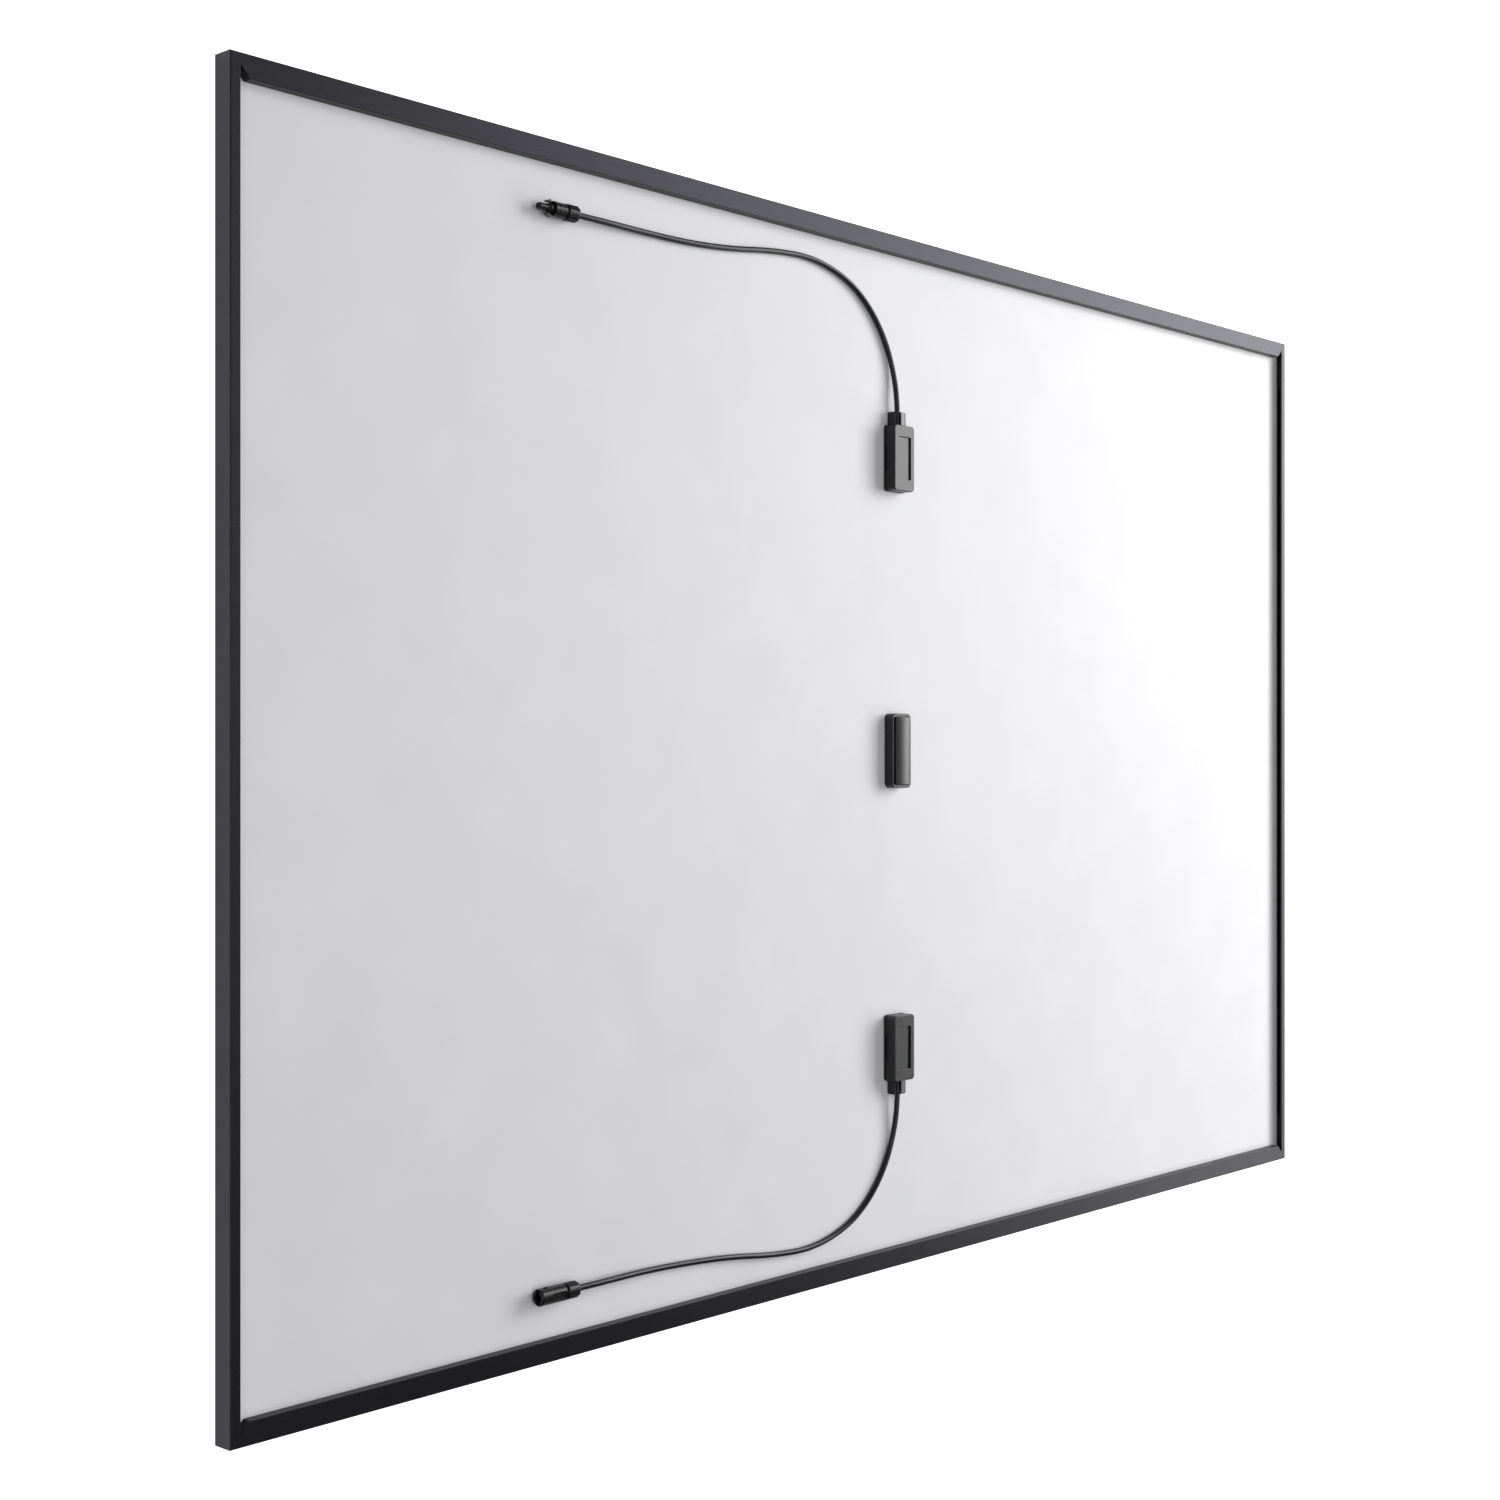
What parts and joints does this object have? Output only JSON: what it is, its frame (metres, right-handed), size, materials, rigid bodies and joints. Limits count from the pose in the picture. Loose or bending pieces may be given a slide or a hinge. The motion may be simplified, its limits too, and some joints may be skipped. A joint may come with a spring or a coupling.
{
  "type": "photovoltaic module",
  "caption": "Framed photovoltaic module with a black anodised frame, white backsheet, split junction boxes and black leads ending in locking plug connectors.",
  "frame": {"origin": "centre of the front lip plane, under the middle of the frame, with the module lying face down", "axes": "+X along the long side, +Y along the short side towards the box with the probe connector, +Z out of the rear side"},
  "size_m": [1.722, 1.134, 0.0281],
  "materials": {
    "black_anodised_frame": "satin black anodised",
    "corner_key_metal": "die cast, dark",
    "edge_sealant": "cured silicone",
    "front_glass": "rolled, anti-reflective",
    "encapsulant": "clear laminated film",
    "silicon_cell": "blue-black anti-reflective coat",
    "tinned_ribbon": "tinned copper",
    "white_backsheet": "white fluoropolymer film",
    "junction_box_plastic": "moulded, fine satin",
    "gasket_rubber": "moulded",
    "bonding_silicone": "cured silicone",
    "potting_compound": "poured silicone",
    "diode_epoxy": "moulded epoxy",
    "tinned_copper": "tin plated",
    "cable_jacket": "extruded, satin",
    "connector_plastic": "moulded, fine satin"
  },
  "bodies": {
    "module": {"upper_rail": "black_anodised_frame", "lower_rail": "black_anodised_frame", "left_rail": "black_anodised_frame", "right_rail": "black_anodised_frame", "corner_keys": "corner_key_metal", "upper_edge_seal": "edge_sealant", "lower_edge_seal": "edge_sealant", "left_edge_seal": "edge_sealant", "right_edge_seal": "edge_sealant", "front_glass": "front_glass", "front_encapsulant": "encapsulant", "rear_encapsulant": "encapsulant", "solar_cells": "silicon_cell", "cell_ribbons": "tinned_ribbon", "bus_ribbons": "tinned_ribbon", "backsheet": "white_backsheet", "upper_box_base": "junction_box_plastic", "lower_box_base": "junction_box_plastic", "middle_box_base": "junction_box_plastic", "lid_gaskets": "gasket_rubber", "neck_grommets": "gasket_rubber", "probe_grommet": "gasket_rubber", "shell_grommet": "gasket_rubber", "probe_o_ring": "gasket_rubber", "adhesive_pads": "bonding_silicone", "potting": "potting_compound", "bypass_diodes": "diode_epoxy", "terminal_plates": "tinned_copper", "lead_conductors": "tinned_copper", "socket_contact": "tinned_copper", "pin_contact": "tinned_copper", "upper_lead": "cable_jacket", "lower_lead": "cable_jacket", "probe_housing": "connector_plastic", "shell_housing": "connector_plastic"},
    "upper_lid": {"upper_box_lid": "junction_box_plastic"},
    "middle_lid": {"middle_box_lid": "junction_box_plastic"},
    "lower_lid": {"lower_box_lid": "junction_box_plastic"},
    "probe_clamp": {"probe_collet": "connector_plastic"},
    "probe_nut": {"probe_cap_nut": "connector_plastic"},
    "shell_clamp": {"shell_collet": "connector_plastic"},
    "shell_nut": {"shell_cap_nut": "connector_plastic"},
    "upper_latch": {"upper_latch_arm": "connector_plastic"},
    "lower_latch": {"lower_latch_arm": "connector_plastic"}
  },
  "joints": [
    {"name": "upper_lid_lift", "type": "slide", "parent": "module", "child": "upper_lid", "axis": [0, 0, 1], "range_m": [0, 0.04]},
    {"name": "middle_lid_lift", "type": "slide", "parent": "module", "child": "middle_lid", "axis": [0, 0, 1], "range_m": [0, 0.04]},
    {"name": "lower_lid_lift", "type": "slide", "parent": "module", "child": "lower_lid", "axis": [0, 0, 1], "range_m": [0, 0.04]},
    {"name": "probe_clamp_slide", "type": "slide", "parent": "module", "child": "probe_clamp", "axis": [1, 0, 0], "range_m": [0, 0.003]},
    {"name": "probe_nut_turn", "type": "hinge", "parent": "probe_clamp", "child": "probe_nut", "pos_m": [-0.4857, 0.5028, 0.02], "axis": [1, 0, 0], "range_deg": [0, 725]},
    {"name": "shell_clamp_slide", "type": "slide", "parent": "module", "child": "shell_clamp", "axis": [1, 0, 0], "range_m": [0, 0.003]},
    {"name": "shell_nut_turn", "type": "hinge", "parent": "shell_clamp", "child": "shell_nut", "pos_m": [-0.4857, -0.5052, 0.02], "axis": [1, 0, 0], "range_deg": [0, 725]},
    {"name": "upper_latch_flex", "type": "hinge", "parent": "module", "child": "upper_latch", "pos_m": [-0.5047, 0.5092, 0.02], "axis": [0, 0, 1], "range_deg": [0, 6], "stiffness_Nm_per_rad": 0.02},
    {"name": "lower_latch_flex", "type": "hinge", "parent": "module", "child": "lower_latch", "pos_m": [-0.5047, 0.4964, 0.02], "axis": [0, 0, -1], "range_deg": [0, 6], "stiffness_Nm_per_rad": 0.02}
  ],
  "couplings": [
    {"joint": "probe_nut_turn", "follows": "probe_clamp_slide", "rad_per_m": 4201.7},
    {"joint": "shell_nut_turn", "follows": "shell_clamp_slide", "rad_per_m": 4201.7}
  ]
}
